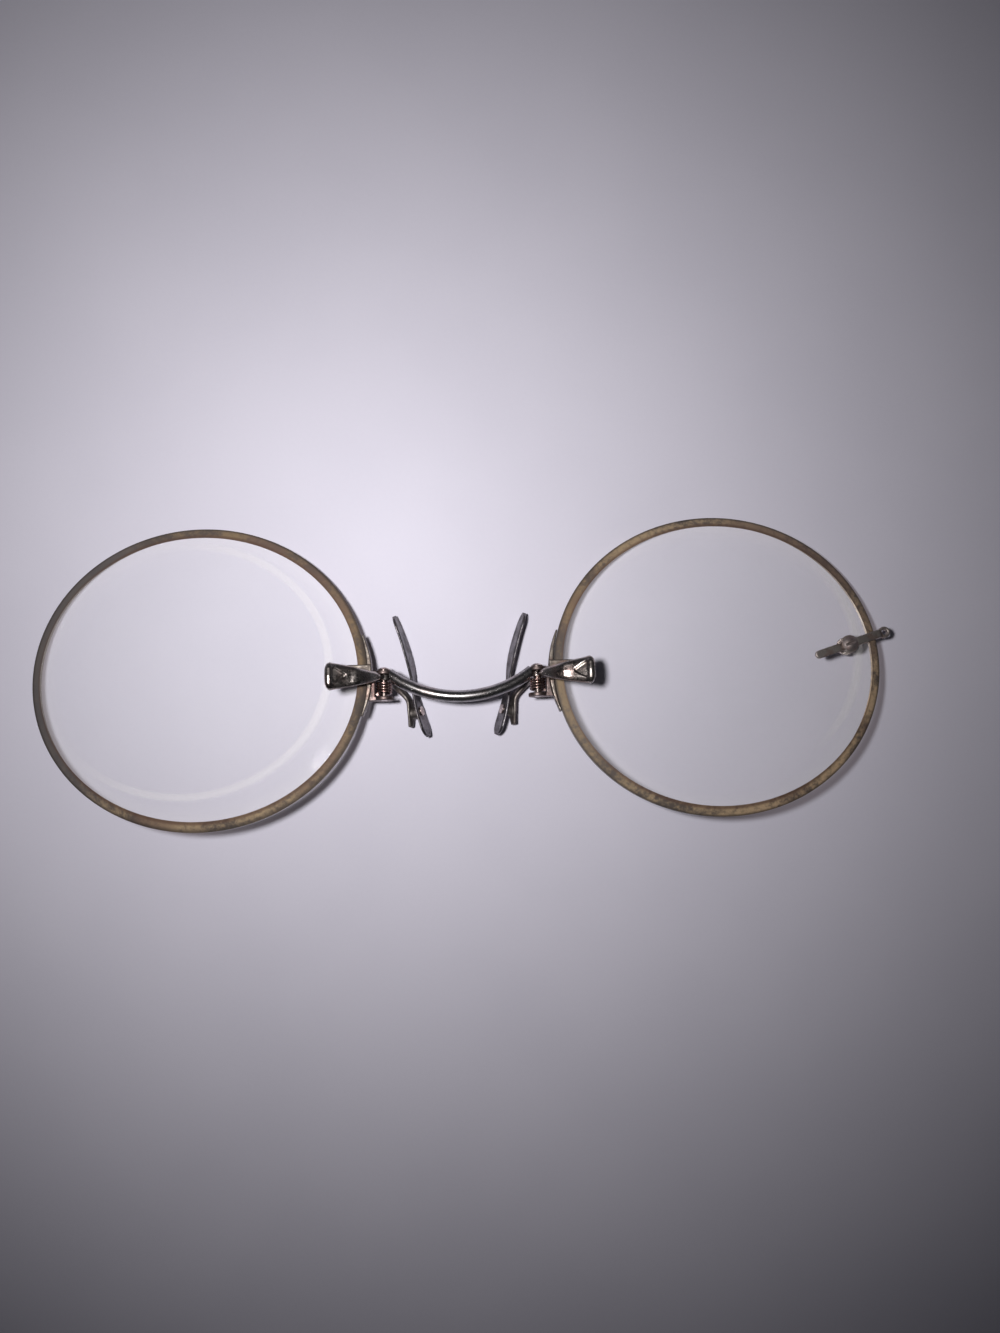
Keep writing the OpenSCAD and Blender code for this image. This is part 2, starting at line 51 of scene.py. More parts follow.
# Pieces are drawn with the lenses flat, in millimetres, then tipped to rest on the paper
pivot = {"across": 9.3, "rise": -1.6, "height": 0.9}    # of the right lever, in that flat drawing
turns = {joint["name"]: joint for joint in frame["joints"]}
leftAxis = Vector(turns["lever_left_turn"]["axis"])
restTilt = math.atan2(-leftAxis.z, leftAxis.y)
pivotMiddle = (Vector(turns["lever_left_turn"]["pos_m"])
               + Vector(turns["lever_right_turn"]["pos_m"])) / 2
restPlace = (Matrix.Translation(pivotMiddle) @ Matrix.Rotation(-restTilt, 4, "X")
             @ Matrix.Translation(Vector((0, -pivot["rise"], -pivot["height"])) * mm))
print("frame loaded, rest tilt", round(math.degrees(restTilt), 2))


class Wire:
    # A socket that can be added, multiplied and so on
    def __init__(self, look, socket):
        self.look, self.socket = look, socket

    def maths(self, operation, first, second):
        return self.look.node("ShaderNodeMath", {"operation": operation}, {0: first, 1: second})

    def __add__(self, other): return self.maths("ADD", self, other)
    def __radd__(self, other): return self.maths("ADD", other, self)
    def __sub__(self, other): return self.maths("SUBTRACT", self, other)
    def __rsub__(self, other): return self.maths("SUBTRACT", other, self)
    def __mul__(self, other): return self.maths("MULTIPLY", self, other)
    def __rmul__(self, other): return self.maths("MULTIPLY", other, self)
    def __truediv__(self, other): return self.maths("DIVIDE", self, other)
    def __pow__(self, other): return self.maths("POWER", self, other)


def opaque(colour):
    return (*colour, 1)


class Look:
    # The nodes of one material, or of the world
    def __init__(self, owner, place="Object"):
        self.owner = owner
        owner.use_nodes = True
        self.tree = owner.node_tree
        self.tree.nodes.clear()
        self.place = self.node("ShaderNodeTexCoord", {}, {}, place)

    def node(self, kind, settings, inputs, output=0):
        made = self.tree.nodes.new(kind)
        for name, value in settings.items():
            setattr(made, name, value)
        for name, value in inputs.items():
            if isinstance(value, Wire):
                self.tree.links.new(value.socket, made.inputs[name])
            else:
                made.inputs[name].default_value = value
        return Wire(self, made.outputs[output])

    def axis(self, where, letter):
        return self.node("ShaderNodeSeparateXYZ", {}, {0: where}, letter)

    def grain(self, where, scale, detail, rough=0.5):
        return self.node("ShaderNodeTexNoise", {}, {
            "Vector": where, "Scale": scale, "Detail": detail, "Roughness": rough})

    def noise(self, size, detail, where=None, rough=0.5):
        # size is the width of a patch in millimetres
        return self.grain(where or self.place, 1 / (size * mm), detail, rough)

    def fade(self, value, low, high):
        return self.node("ShaderNodeMapRange", {"interpolation_type": "SMOOTHSTEP"}, {
            "Value": value, "From Min": low, "From Max": high}, "Result")

    def blend(self, share, first, second):
        first, second = (c if isinstance(c, Wire) else opaque(c) for c in (first, second))
        return self.node("ShaderNodeMix", {"data_type": "RGBA"}, {0: share, 6: first, 7: second}, 2)

    def layer(self, share, under, over):
        return self.node("ShaderNodeMixShader", {}, {0: share, 1: under, 2: over})

    def bump(self, height, distance, strength):
        return self.node("ShaderNodeBump", {}, {
            "Height": height, "Distance": distance * mm, "Strength": strength}, "Normal")

    def finish(self, shader, kind="ShaderNodeOutputMaterial"):
        out = self.tree.nodes.new(kind)
        self.tree.links.new(shader.socket, out.inputs["Surface"])
        return self.owner


def addObject(name, data):
    made = bpy.data.objects.new(name, data)
    scene.collection.objects.link(made)
    return made


def meshObject(name, bm, slots=0):
    mesh = bpy.data.meshes.new(name)
    for _ in range(slots):
        mesh.materials.append(None)
    bm.to_mesh(mesh)
    bm.free()
    return addObject(name, mesh)


def makePiece(name, mesh, node, finishes):
    piece = addObject(name, mesh)
    for index, finish in enumerate(finishes):
        if index < len(mesh.materials):
            mesh.materials[index] = finish
        else:
            mesh.materials.append(finish)
    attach(piece, bodyOf[node])
    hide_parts(node)


def bakedMesh(bm, name, modifiers=(), place=Matrix.Identity(4), sharp=0, slots=1):
    # Runs the modifiers in millimetres on an object that is thrown away, then puts the mesh
    # in its place in metres
    holder = meshObject(name + "Raw", bm, slots)
    raw = holder.data
    for kind, settings in modifiers:
        modifier = holder.modifiers.new(kind.lower(), kind)
        for key, value in settings.items():
            setattr(modifier, key, value)
    bpy.context.view_layer.update()
    graph = bpy.context.evaluated_depsgraph_get()
    mesh = bpy.data.meshes.new_from_object(holder.evaluated_get(graph))
    mesh.name = name
    bpy.data.objects.remove(holder)
    bpy.data.meshes.remove(raw)
    mesh.transform(place @ Matrix.Scale(mm, 4))
    mesh.shade_smooth()
    if sharp:
        mesh.set_sharp_from_angle(angle=math.radians(sharp))
    return mesh


def cutMesh(bm, name, cuts, tool, place, sharp, slots=1):
    # As bakedMesh, less a rod of the tool's size at each of the cuts
    rods = bmesh.new()
    for cut in cuts:
        bmesh.ops.create_cone(rods, cap_ends=True, segments=tool["sides"], matrix=cut,
                              radius1=tool["diameter"] / 2, radius2=tool["diameter"] / 2,
                              depth=tool["length"])
    cutter = meshObject(name + "Cutter", rods)
    mesh = bakedMesh(bm, name, [
        ("BOOLEAN", {"operation": "DIFFERENCE", "solver": "EXACT", "object": cutter})],
        place, sharp, slots)
    bpy.data.objects.remove(cutter)
    return mesh


# Metal finishes: patch is the width of the tarnish marks in millimetres, and tarnish is the
# noise level that they start from
metalTones = {
    "goldFilled": {
        "bright": (0.40, 0.365, 0.345), "dark": (0.12, 0.105, 0.10), "rose": (0.36, 0.235, 0.21),
        "shine": 0.15, "dull": 0.20, "tarnish": 0.44, "patch": 1.3, "blush": 0.45,
        "wear": 0.35, "wave": 1.2, "dullAndShadedWithin": 8.7},
    "bridgeMetal": {
        "bright": (0.36, 0.345, 0.35), "dark": (0.15, 0.14, 0.14), "rose": (0.34, 0.25, 0.23),
        "shine": 0.21, "dull": 0.12, "tarnish": 0.46, "patch": 1.6, "blush": 0.3,
        "wear": 0.3, "wave": 0.5},
    # A darker copy of the gold-filled metal, which is painted shade, with a duller finish
    "shadedStrapMetal": {
        "bright": (0.19, 0.165, 0.145), "dark": (0.075, 0.063, 0.057), "rose": (0.20, 0.13, 0.11),
        "shine": 0.34, "dull": 0.18, "tarnish": 0.43, "patch": 1.0, "blush": 0.5,
        "wear": 0.15, "wave": 2.2},
    # A darker copy of the gold-filled metal, which is painted shade, with a duller finish and few worn edges
    "shadedBoxMetal": {
        "bright": (0.17, 0.135, 0.13), "dark": (0.08, 0.06, 0.056), "rose": (0.19, 0.11, 0.10),
        "shine": 0.36, "dull": 0.18, "tarnish": 0.43, "patch": 0.8, "blush": 0.6,
        "wear": 0.10, "wave": 1.6},
    # A lighter copy of the gold-filled metal, which is painted light, with a rougher finish
    "litHandleMetal": {
        "bright": (0.50, 0.45, 0.42), "dark": (0.21, 0.185, 0.17), "rose": (0.38, 0.26, 0.22),
        "shine": 0.44, "dull": 0.14, "tarnish": 0.47, "patch": 0.8, "blush": 0.6,
        "wear": 0.4, "wave": 1.5},
    "dullScrew": {
        "bright": (0.42, 0.36, 0.35), "dark": (0.18, 0.15, 0.14), "rose": (0.38, 0.27, 0.25),
        "shine": 0.52, "dull": 0.12, "tarnish": 0.46, "patch": 0.5, "blush": 0.6,
        "wear": 0.3, "wave": 1.2},
    "guardMetal": {
        "bright": (0.155, 0.145, 0.155), "dark": (0.06, 0.055, 0.06), "rose": (0.16, 0.125, 0.12),
        "shine": 0.30, "dull": 0.20, "tarnish": 0.46, "patch": 1.0, "blush": 0.25,
        "wear": 0.25, "wave": 1.0},
    "screwMetal": {
        "bright": (0.52, 0.44, 0.41), "dark": (0.14, 0.10, 0.09), "rose": (0.42, 0.26, 0.22),
        "shine": 0.14, "dull": 0.20, "tarnish": 0.42, "patch": 0.6, "blush": 0.5,
        "wear": 0.35, "wave": 0.6},
    "springSteel": {
        "bright": (0.34, 0.24, 0.22), "dark": (0.09, 0.06, 0.055), "rose": (0.30, 0.16, 0.135),
        "shine": 0.20, "dull": 0.22, "tarnish": 0.42, "patch": 0.5, "blush": 0.6,
        "wear": 0.2, "wave": 0.2},
}
# What all of them share. Fades are the two values that a mark fades in between
metalMarks = {
    "patchRough": 0.6, "patchShare": 0.7, "fineness": 6, "fineShare": 0.3, "fineRough": 0.06,
    "tarnishFades": (-0.04, 0.20), "tarnishShare": 0.8, "rubbedOff": 0.06,
    "blushWidth": 1.7, "blushFades": (0.48, 0.66),
    "edgeFades": (0.505, 0.56), "edgeGain": 1.6,
    "pitSize": 0.09, "pitFades": (0.66, 0.76), "pitShare": 0.5, "pitRough": 0.15,
    "armFade": 0.6, "armShadeShare": 0.75, "armRough": 0.30,
    "scuffSize": 0.05, "scuffStretch": 0.15, "waveSize": 0.7,
    "fineRelief": 0.5, "scuffRelief": 0.3, "pitRelief": 0.6, "depth": 0.02, "strength": 0.5}


def metalLook(name):
    tone, marks = metalTones[name], metalMarks
    look = Look(bpy.data.materials.new(name))
    broad = look.noise(tone["patch"], detail=4, rough=marks["patchRough"])
    fine = look.noise(tone["patch"] / marks["fineness"], detail=3)
    specks = look.noise(marks["pitSize"], detail=2)
    bends = look.node("ShaderNodeNewGeometry", {}, {}, "Pointiness")
    edges = look.fade(bends, *marks["edgeFades"])
    tarnish = look.fade(
        broad * marks["patchShare"] + fine * marks["fineShare"] - edges * marks["rubbedOff"],
        *(tone["tarnish"] + step for step in marks["tarnishFades"]))
    warm = look.noise(tone["patch"] * marks["blushWidth"], detail=2)
    blush = look.fade(warm, *marks["blushFades"]) * tone["blush"]
    pits = look.fade(specks, *marks["pitFades"])

    colour = look.blend(tarnish * marks["tarnishShare"], tone["bright"], tone["dark"])
    colour = look.blend(blush, colour, tone["rose"])
    polished = [min(1, c * marks["edgeGain"]) for c in tone["bright"]]
    colour = look.blend(edges * tone["wear"], colour, polished)
    colour = look.blend(pits * marks["pitShare"], colour, tone["dark"])
    rough = (tone["shine"] + tarnish * tone["dull"] + fine * marks["fineRough"]
             + pits * marks["pitRough"])
    if "dullAndShadedWithin" in tone:
        # The arms to the guards, between the two pivots, are duller than the finger pieces, and darkened with
        # painted shade where they lie under the bridge
        reach = tone["dullAndShadedWithin"]
        across = look.axis(look.place, "X") * (1 / mm) - pivotMiddle.x / mm
        shadedDullArms = 1 - look.fade(across * across, (reach - marks["armFade"]) ** 2, reach ** 2)
        colour = look.blend(shadedDullArms * marks["armShadeShare"], colour, tone["dark"])
        rough = rough + shadedDullArms * marks["armRough"]

    lines = look.node("ShaderNodeMapping", {}, {
        "Vector": look.place, "Scale": (1.0, marks["scuffStretch"], 1.0)})
    scuffs = look.noise(marks["scuffSize"], detail=2, where=lines)
    relief = (fine * marks["fineRelief"] + scuffs * marks["scuffRelief"]
              - pits * marks["pitRelief"]
              + look.noise(marks["waveSize"], detail=1) * tone["wave"])
    return look.finish(look.node("ShaderNodeBsdfPrincipled", {}, {
        "Base Color": colour, "Metallic": 1.0, "Roughness": rough,
        "Normal": look.bump(relief, marks["depth"], marks["strength"])}))


looks = {name: metalLook(name) for name in metalTones}
print("metal finishes made")

# Lenses: clear glass with a ground, age-toned bevel all round. across and rise are the middle of
# the right lens, and the handle's hole lies handleIn from the rim along its leaning bar
lensShape = {
    "width": 40.0, "height": 37.0, "middle": 2.1, "edge": 1.475, "dome": 320.0,
    "bevelWidth": 0.9, "bevelHeight": 0.4, "across": 31.35, "rise": 0.25,
    "segments": 288, "rings": 20, "bevelTries": 12, "sharp": 14, "strapHole": 13.45,
    "handlePlace": 9.4, "handleLean": 17.8, "handleIn": 3.7,
    "drill": {"diameter": 1.36, "sides": 64, "length": 8, "height": 1}}


def lensMiddle(side):
    return Vector((side * lensShape["across"], lensShape["rise"], 0)) * mm


def domeHeight(x, y):
    return (lensShape["middle"] - lensShape["dome"]
            + math.sqrt(lensShape["dome"] ** 2 - x * x - y * y))


def lensBlank():
    s = lensShape
    half = Vector((s["width"] / 2, s["height"] / 2))
    glass, ground = 0, 1
    bm = bmesh.new()
    bmesh.ops.create_circle(bm, cap_ends=False, segments=s["segments"], radius=1)
    ring = bm.edges[:]
    angle = {v: math.atan2(v.co.y, v.co.x) for v in bm.verts}

    def spread(verts, inset, height):
        for v in verts:
            gap = inset(angle[v]) if callable(inset) else inset
            x, y = (half.x - gap) * math.cos(angle[v]), (half.y - gap) * math.sin(angle[v])
            v.co = (x, y, height(x, y) if callable(height) else height)

    def extrudeRing(edges, material):
        made = bmesh.ops.extrude_edge_only(bm, edges=edges)["geom"]
        verts = [g for g in made if isinstance(g, bmesh.types.BMVert)]
        for face in (g for g in made if isinstance(g, bmesh.types.BMFace)):
            face.material_index = material
        fresh = set(verts)
        return verts, [g for g in made if isinstance(g, bmesh.types.BMEdge)
                       and g.verts[0] in fresh and g.verts[1] in fresh]

    def rimRing(edges, inset, height):
        # A new vertex still lies on the one it came from, and takes over its angle
        places = {tuple(round(c, 6) for c in v.co): angle[v] for e in edges for v in e.verts}
        verts, edges = extrudeRing(edges, ground)
        for v in verts:
            angle[v] = places[tuple(round(c, 6) for c in v.co)]
        spread(verts, inset, height)
        return edges

    def frontInset(a):
        # Where the front bevel runs into the dome
        gap = s["bevelWidth"]
        for _ in range(s["bevelTries"]):
            rim = domeHeight((half.x - gap) * math.cos(a), (half.y - gap) * math.sin(a))
            gap = (rim - s["edge"] + s["bevelHeight"]) * s["bevelWidth"] / s["bevelHeight"]
        return gap

    spread(bm.verts, s["bevelWidth"], 0.0)
    bmesh.ops.contextual_create(bm, geom=ring)
    edges = rimRing(ring, 0.0, s["bevelHeight"])
    edges = rimRing(edges, 0.0, s["edge"] - s["bevelHeight"])
    edges = rimRing(edges, frontInset, domeHeight)
    for k in range(1, s["rings"]):
        # Ring after ring of the dome, each drawn in towards the middle
        step = (1 - k / s["rings"]) / (1 - (k - 1) / s["rings"])
        verts, edges = extrudeRing(edges, glass)
        for v in verts:
            x, y = v.co.x * step, v.co.y * step
            v.co = (x, y, domeHeight(x, y))
    bmesh.ops.pointmerge(bm, verts=list({v for e in edges for v in e.verts}),
                         merge_co=(0, 0, s["middle"]))
    bmesh.ops.recalc_face_normals(bm, faces=bm.faces)
    return bm


def distanceIn(x, y, halfWidth, halfHeight):
    # How far in from an oval a place lies, roughly
    reach = ((x / halfWidth) ** 2 + (y / halfHeight) ** 2) ** 0.5
    return (1 - reach) * ((halfWidth + halfHeight) / 2)


def lensCoordinates(look, side):
    # Turns object coordinates into the lens's own, in millimetres, with the distance from the rim
    own = look.node("ShaderNodeMapping", {"vector_type": "TEXTURE"}, {
        "Vector": look.place, "Location": restPlace @ lensMiddle(side),
        "Rotation": (-restTilt, 0, 0), "Scale": (mm, mm, mm)})
    x, y = look.axis(own, "X"), look.axis(own, "Y")
    return own, x, y, distanceIn(x, y, lensShape["width"] / 2, lensShape["height"] / 2)


# Ground edge. A noise is its scale per millimetre, its detail and its shift. Fades are the two
# values that a mark fades in between. Across and Lean slant a mark: how much x and y count in it
groundEdge = {
    "bright": (0.29, 0.205, 0.12), "pale": (0.47, 0.345, 0.215), "warm": (0.64, 0.455, 0.285),
    "dark": (0.122, 0.097, 0.083), "rose": (0.20, 0.13, 0.10), "grey": (0.13, 0.118, 0.122),
    "rimLine": (0.05, 0.04, 0.036), "innerShadeLine": (0.13, 0.07, 0.05),
    "patches": (0.16, 3.0, 3.0), "blush": (0.10, 2.0, 41.0), "streaks": (1.9, 3.0, 7.0),
    "grit": (13.0, 2.0, 0.0), "noiseRough": 0.6,
    "patchShare": 0.6, "streakShare": 0.4, "lightFades": (0.40, 0.60),
    "rightPaleFades": (60, 290), "leftPaleFrom": -8, "leftPaleFades": (-6, 8),
    "warmLean": 0.2, "warmFades": (-2, 14), "roseFades": (0.50, 0.62), "roseShare": 0.7,
    "greyPatches": 10, "greyLean": 0.15, "outerShadeFades": (11, 19), "outerShadeShare": 0.85,
    "rimFades": (0.05, 0.38), "rimShare": 0.8, "rimLeast": 0.2,
    "rimShadowWiden": 0.3, "wideAcross": 0.6, "wideLean": 0.8, "wideFades": (4, 14),
    "innerFades": (0.72, 1.08), "innerShare": 0.7, "gritFades": (0.45, 0.75), "gritShare": 0.35,
    "rough": 0.30, "gritRough": 0.25, "ior": 1.5, "coat": 0.5, "coatRough": 0.16,
    "gritRelief": 0.6, "streakRelief": 0.4, "depth": 0.02, "strength": 0.4,
    "through": (0.66, 0.63, 0.62), "throughLean": 0.25, "throughFades": (-8, 14),
    "throughLeast": 0.45, "throughMore": 0.5}


def groundEdgeLook(side):
    tone = groundEdge
    look = Look(bpy.data.materials.new("groundEdge" + sideWords[side].title()))
    own, x, y, inward = lensCoordinates(look, side)

    def marks(scale, detail, shift):
        moved = look.node("ShaderNodeMapping", {}, {
            "Vector": own, "Location": (shift, side * shift, 0)})
        return look.grain(moved, scale, detail, tone["noiseRough"])

    patches, blush, streaks, grit = (
        marks(*tone[name]) for name in ("patches", "blush", "streaks", "grit"))
    light = look.fade(patches * tone["patchShare"] + streaks * tone["streakShare"],
                      *tone["lightFades"])
    rimFrom, rimTo = tone["rimFades"]
    if side > 0:
        # The right lens is paler at the top and bottom, and warmer on its outer side
        pale = look.fade(y * y, *tone["rightPaleFades"])
        bright = look.blend(pale, tone["bright"], tone["pale"])
        warm = look.fade(x - y * tone["warmLean"], *tone["warmFades"])
        bright = look.blend(warm, bright, tone["warm"])
    else:
        # The left one is paler at the bottom only
        pale = look.fade(tone["leftPaleFrom"] - y, *tone["leftPaleFades"])
        bright = look.blend(pale, tone["bright"], tone["pale"])
    colour = look.blend(light, tone["dark"], bright)
    colour = look.blend(look.fade(blush, *tone["roseFades"]) * tone["roseShare"],
                        colour, tone["rose"])
    if side < 0:
        # Painted shade turns it grey on its outer side, away from the lamp, and a painted shadow widens the dark
        # rim line at its lower nose side
        grey = look.fade(patches * tone["greyPatches"] - x + y * tone["greyLean"],
                         *tone["outerShadeFades"])
        colour = look.blend(grey * tone["outerShadeShare"], colour, tone["grey"])
        rimShadowWidth = look.fade(x * tone["wideAcross"] - y * tone["wideLean"], *tone["wideFades"])
        rimTo = rimShadowWidth * tone["rimShadowWiden"] + rimTo
    # Painted shade of the bevel: a dark reddish line along its inner edge and a dark line at its outer rim. The
    # grit specks take the same dark colour as the rim
    colour = look.blend(look.fade(inward, *tone["innerFades"]) * tone["innerShare"],
                        colour, tone["innerShadeLine"])
    colour = look.blend(
        look.fade(inward, rimFrom, rimTo) * tone["rimShare"] + tone["rimLeast"],
        tone["rimLine"], colour)
    colour = look.blend(look.fade(grit, *tone["gritFades"]) * tone["gritShare"],
                        colour, tone["rimLine"])
    relief = grit * tone["gritRelief"] + streaks * tone["streakRelief"]
    ground = look.node("ShaderNodeBsdfPrincipled", {}, {
        "Base Color": colour, "Roughness": tone["rough"] + grit * tone["gritRough"],
        "IOR": tone["ior"], "Coat Weight": tone["coat"], "Coat Roughness": tone["coatRough"],
        "Normal": look.bump(relief, tone["depth"], tone["strength"])})
    # Some light gets through the ground glass, most of it far from the nose, so that the shadow
    # there is pale
    outward = look.fade(side * x - y * tone["throughLean"], *tone["throughFades"])
    clearer = outward * tone["throughMore"] + tone["throughLeast"]
    through = look.node("ShaderNodeBsdfTransparent", {}, {"Color": opaque(tone["through"])})
    shadow = look.node("ShaderNodeLightPath", {}, {}, "Is Shadow Ray")
    return look.finish(look.layer(shadow * clearer, ground, through))


# Clear glass, with a faint film of smears and dust, a painted pale band of light just inside the rim
# and a painted pale line of light further in. Noises and Fades are given as for the ground edge
clearGlass = {
    "tint": (0.99, 0.995, 0.99), "ior": 1.52, "gloss": (0.01, 0.01, 0.01),
    "film": (0.93, 0.91, 0.91), "filmRough": 0.5, "through": (1.0, 1.0, 1.0),
    "rimFades": (1.05, 3.35), "rimShare": 0.06, "lineFades": (0.0, 0.35),
    "smear": (0.09, 3.0, 0.6), "smearFades": (0.5, 0.8), "smearShare": 0.02,
    "dust": (3.5, 2.0), "dustFades": (0.72, 0.80), "dustShare": 0.10}
# The painted pale line of light lies inside the rim by these widths and off the middle, brightest the given way
paintedLightLine = {
    -1: {"inside": (2.8, 3.2), "shift": (-1.8, 1.0), "way": (0.85, -0.35), "fades": (-12, 2),
         "share": 0.14},
    1: {"inside": (2.55, 2.55), "shift": (0.0, 1.55), "way": (1.0, 0.0), "fades": (10, 18),
        "share": 0.22}}


def clearGlassLook(side):
    tone, line = clearGlass, paintedLightLine[side]
    look = Look(bpy.data.materials.new("clearGlass" + sideWords[side].title()))
    own, x, y, inward = lensCoordinates(look, side)
    smear = look.fade(look.grain(own, *tone["smear"]), *tone["smearFades"])
    dust = look.fade(look.grain(own, *tone["dust"]), *tone["dustFades"])
    # Painted light: a pale band just inside the rim, fading out over the first few millimetres
    rim = 1 - look.fade(inward, *tone["rimFades"])
    # Painted light: the pale line that the lens throws on the paper
    gap = distanceIn(x - line["shift"][0], y - line["shift"][1],
                     lensShape["width"] / 2 - line["inside"][0],
                     lensShape["height"] / 2 - line["inside"][1])
    bright = (1 - look.fade(gap * gap, *tone["lineFades"])) * look.fade(
        x * line["way"][0] + y * line["way"][1], *line["fades"])
    film = (rim * tone["rimShare"] + bright * line["share"] + smear * tone["smearShare"]
            + dust * tone["dustShare"])
    glass = look.node("ShaderNodeBsdfPrincipled", {}, {
        "Base Color": opaque(tone["tint"]), "Roughness": 0.0, "IOR": tone["ior"],
        "Specular Tint": opaque(tone["gloss"]), "Transmission Weight": 1.0})
    hazeAndGlow = look.node("ShaderNodeBsdfPrincipled", {}, {
        "Base Color": opaque(tone["film"]), "Roughness": tone["filmRough"]})
    seen = look.layer(film, glass, hazeAndGlow)
    through = look.node("ShaderNodeBsdfTransparent", {}, {"Color": opaque(tone["through"])})
    # Light reaches the paper straight through the glass
    for ray in ("Is Shadow Ray", "Is Diffuse Ray"):
        seen = look.layer(look.node("ShaderNodeLightPath", {}, {}, ray), seen, through)
    return look.finish(seen)


handlePlace = math.radians(lensShape["handlePlace"])
handleLean = math.radians(lensShape["handleLean"])
handleHole = (
    math.cos(handlePlace) * lensShape["width"] / 2 - lensShape["handleIn"] * math.cos(handleLean),
    math.sin(handlePlace) * lensShape["height"] / 2 - lensShape["handleIn"] * math.sin(handleLean))
for side, word in sideWords.items():
    holes = [(side * (lensShape["strapHole"] - lensShape["across"]), -lensShape["rise"])]
    if side > 0:
        holes.append(handleHole)
    cuts = [Matrix.Translation((*hole, lensShape["drill"]["height"])) for hole in holes]
    mesh = cutMesh(lensBlank(), word + "Lens", cuts, lensShape["drill"],
                   restPlace @ Matrix.Translation(lensMiddle(side)), lensShape["sharp"], slots=2)
    makePiece(word + "Lens", mesh, "lens_" + word,
              [clearGlassLook(side), groundEdgeLook(side)])
print("lenses made")

# Bridge bar: a round bar bent to an arc that leans back, its ends cut to the spring boxes
bar = {"diameter": 1.45, "drop": 3.0, "rise": 0.6, "lean": 18.0, "steps": 96, "sides": 40,
       "sharp": 40, "box": {"diameter": 2.32, "sides": 96, "length": 12}}
lean = math.radians(bar["lean"])
sag = (bar["drop"] + bar["rise"]) / math.cos(lean)
archRadius = (pivot["across"] ** 2 + sag ** 2) / (2 * sag)
archHalf = math.asin(pivot["across"] / archRadius)
bm = bmesh.new()
bmesh.ops.create_circle(
    bm, cap_ends=True, segments=bar["sides"], radius=bar["diameter"] / 2,
    matrix=Matrix.Translation((0, -archRadius, 0)) @ Matrix.Rotation(math.pi / 2, 4, "Y"))
bmesh.ops.rotate(bm, cent=(0, 0, 0), matrix=Matrix.Rotation(-archHalf, 3, "Z"), verts=bm.verts)
bmesh.ops.spin(bm, geom=bm.faces[:] + bm.edges[:] + bm.verts[:], cent=(0, 0, 0),
               axis=(0, 0, 1), angle=2 * archHalf, steps=bar["steps"], use_merge=False)
bmesh.ops.remove_doubles(bm, verts=bm.verts, dist=mergeGap)
bmesh.ops.translate(bm, vec=(0, archRadius - sag, 0), verts=bm.verts)
bmesh.ops.rotate(bm, cent=(0, 0, 0), matrix=Matrix.Rotation(-lean, 3, "X"), verts=bm.verts)
bmesh.ops.translate(bm, vec=(0, bar["rise"], pivot["height"]), verts=bm.verts)
bmesh.ops.recalc_face_normals(bm, faces=bm.faces)
cuts = [Matrix.Translation((side * pivot["across"], 0, pivot["height"]))
        @ Matrix.Rotation(math.pi / 2, 4, "X") for side in sideWords]
mesh = cutMesh(bm, "bridgeBar", cuts, bar["box"], restPlace, bar["sharp"])
makePiece("bridgeBar", mesh, "bridge", [looks["bridgeMetal"]])
print("bridge made")

# Springs: a close coil of round wire in the room of the two wide curls
coil = {"wire": 0.30, "diameter": 1.68, "curls": 4.0, "low": -2.50, "high": -0.86,
        "steps": 40, "sides": 12, "sharp": 50}
for side, word in sideWords.items():
    bm = bmesh.new()
    bmesh.ops.create_circle(
        bm, cap_ends=True, segments=coil["sides"], radius=coil["wire"] / 2,
        matrix=(Matrix.Translation((coil["diameter"] / 2, 0, 0))
                @ Matrix.Rotation(math.pi / 2, 4, "X")))
    steps = int(coil["steps"] * coil["curls"])
    climb = (coil["high"] - coil["low"] - coil["wire"]) / steps
    bmesh.ops.spin(bm, geom=bm.faces[:] + bm.edges[:] + bm.verts[:], cent=(0, 0, 0),
                   axis=(0, 0, 1), dvec=(0, 0, climb), angle=2 * math.pi * coil["curls"],
                   steps=steps, use_merge=False)
    bmesh.ops.remove_doubles(bm, verts=bm.verts, dist=mergeGap)
    bmesh.ops.rotate(bm, cent=(0, 0, 0), matrix=Matrix.Rotation(-math.pi / 2, 3, "X"),
                     verts=bm.verts)
    bmesh.ops.translate(bm, verts=bm.verts, vec=(
        pivot["across"], coil["low"] + coil["wire"] / 2, pivot["height"]))
    bmesh.ops.scale(bm, vec=(side, 1, 1), verts=bm.verts)
    bmesh.ops.recalc_face_normals(bm, faces=bm.faces)
    mesh = bakedMesh(bm, word + "Spring", (), restPlace, coil["sharp"])
    makePiece(word + "Spring", mesh, "coil_spring_" + word,
              [looks["springSteel"]])
print("springs made")

# The rest of the metalwork: each CAD solid with its edges worn round
wornParts = {
    "strap": {
        "sides": True, "grid": 0.05, "passes": 26, "slot": "gold_filled", "look": "shadedStrapMetal"},
    "spring_box": {
        "sides": True, "grid": 0.045, "passes": 18, "slot": "gold_filled", "look": "shadedBoxMetal"},
    "finger_lever": {
        "sides": True, "grid": 0.05, "passes": 22, "slot": "gold_filled", "look": "goldFilled"},
    "guard": {
        "sides": True, "grid": 0.05, "passes": 10, "slot": "guard_metal", "look": "guardMetal"},
    "strap_screw": {
        "sides": True, "grid": 0.035, "passes": 5, "slot": "screw_metal", "look": "screwMetal"},
    "pivot_screw": {
        "sides": True, "grid": 0.035, "passes": 5, "slot": "screw_metal", "look": "screwMetal"},
    "guard_rivet": {
        "sides": True, "grid": 0.025, "passes": 5, "slot": "screw_metal", "look": "screwMetal"},
    "chain_handle": {
        "sides": False, "grid": 0.045, "passes": 34, "slot": "gold_filled", "look": "litHandleMetal"},
    "chain_handle_screw": {
        "sides": False, "grid": 0.035, "passes": 9, "slot": "screw_metal", "look": "dullScrew"},
}
wearPerPass = 0.5
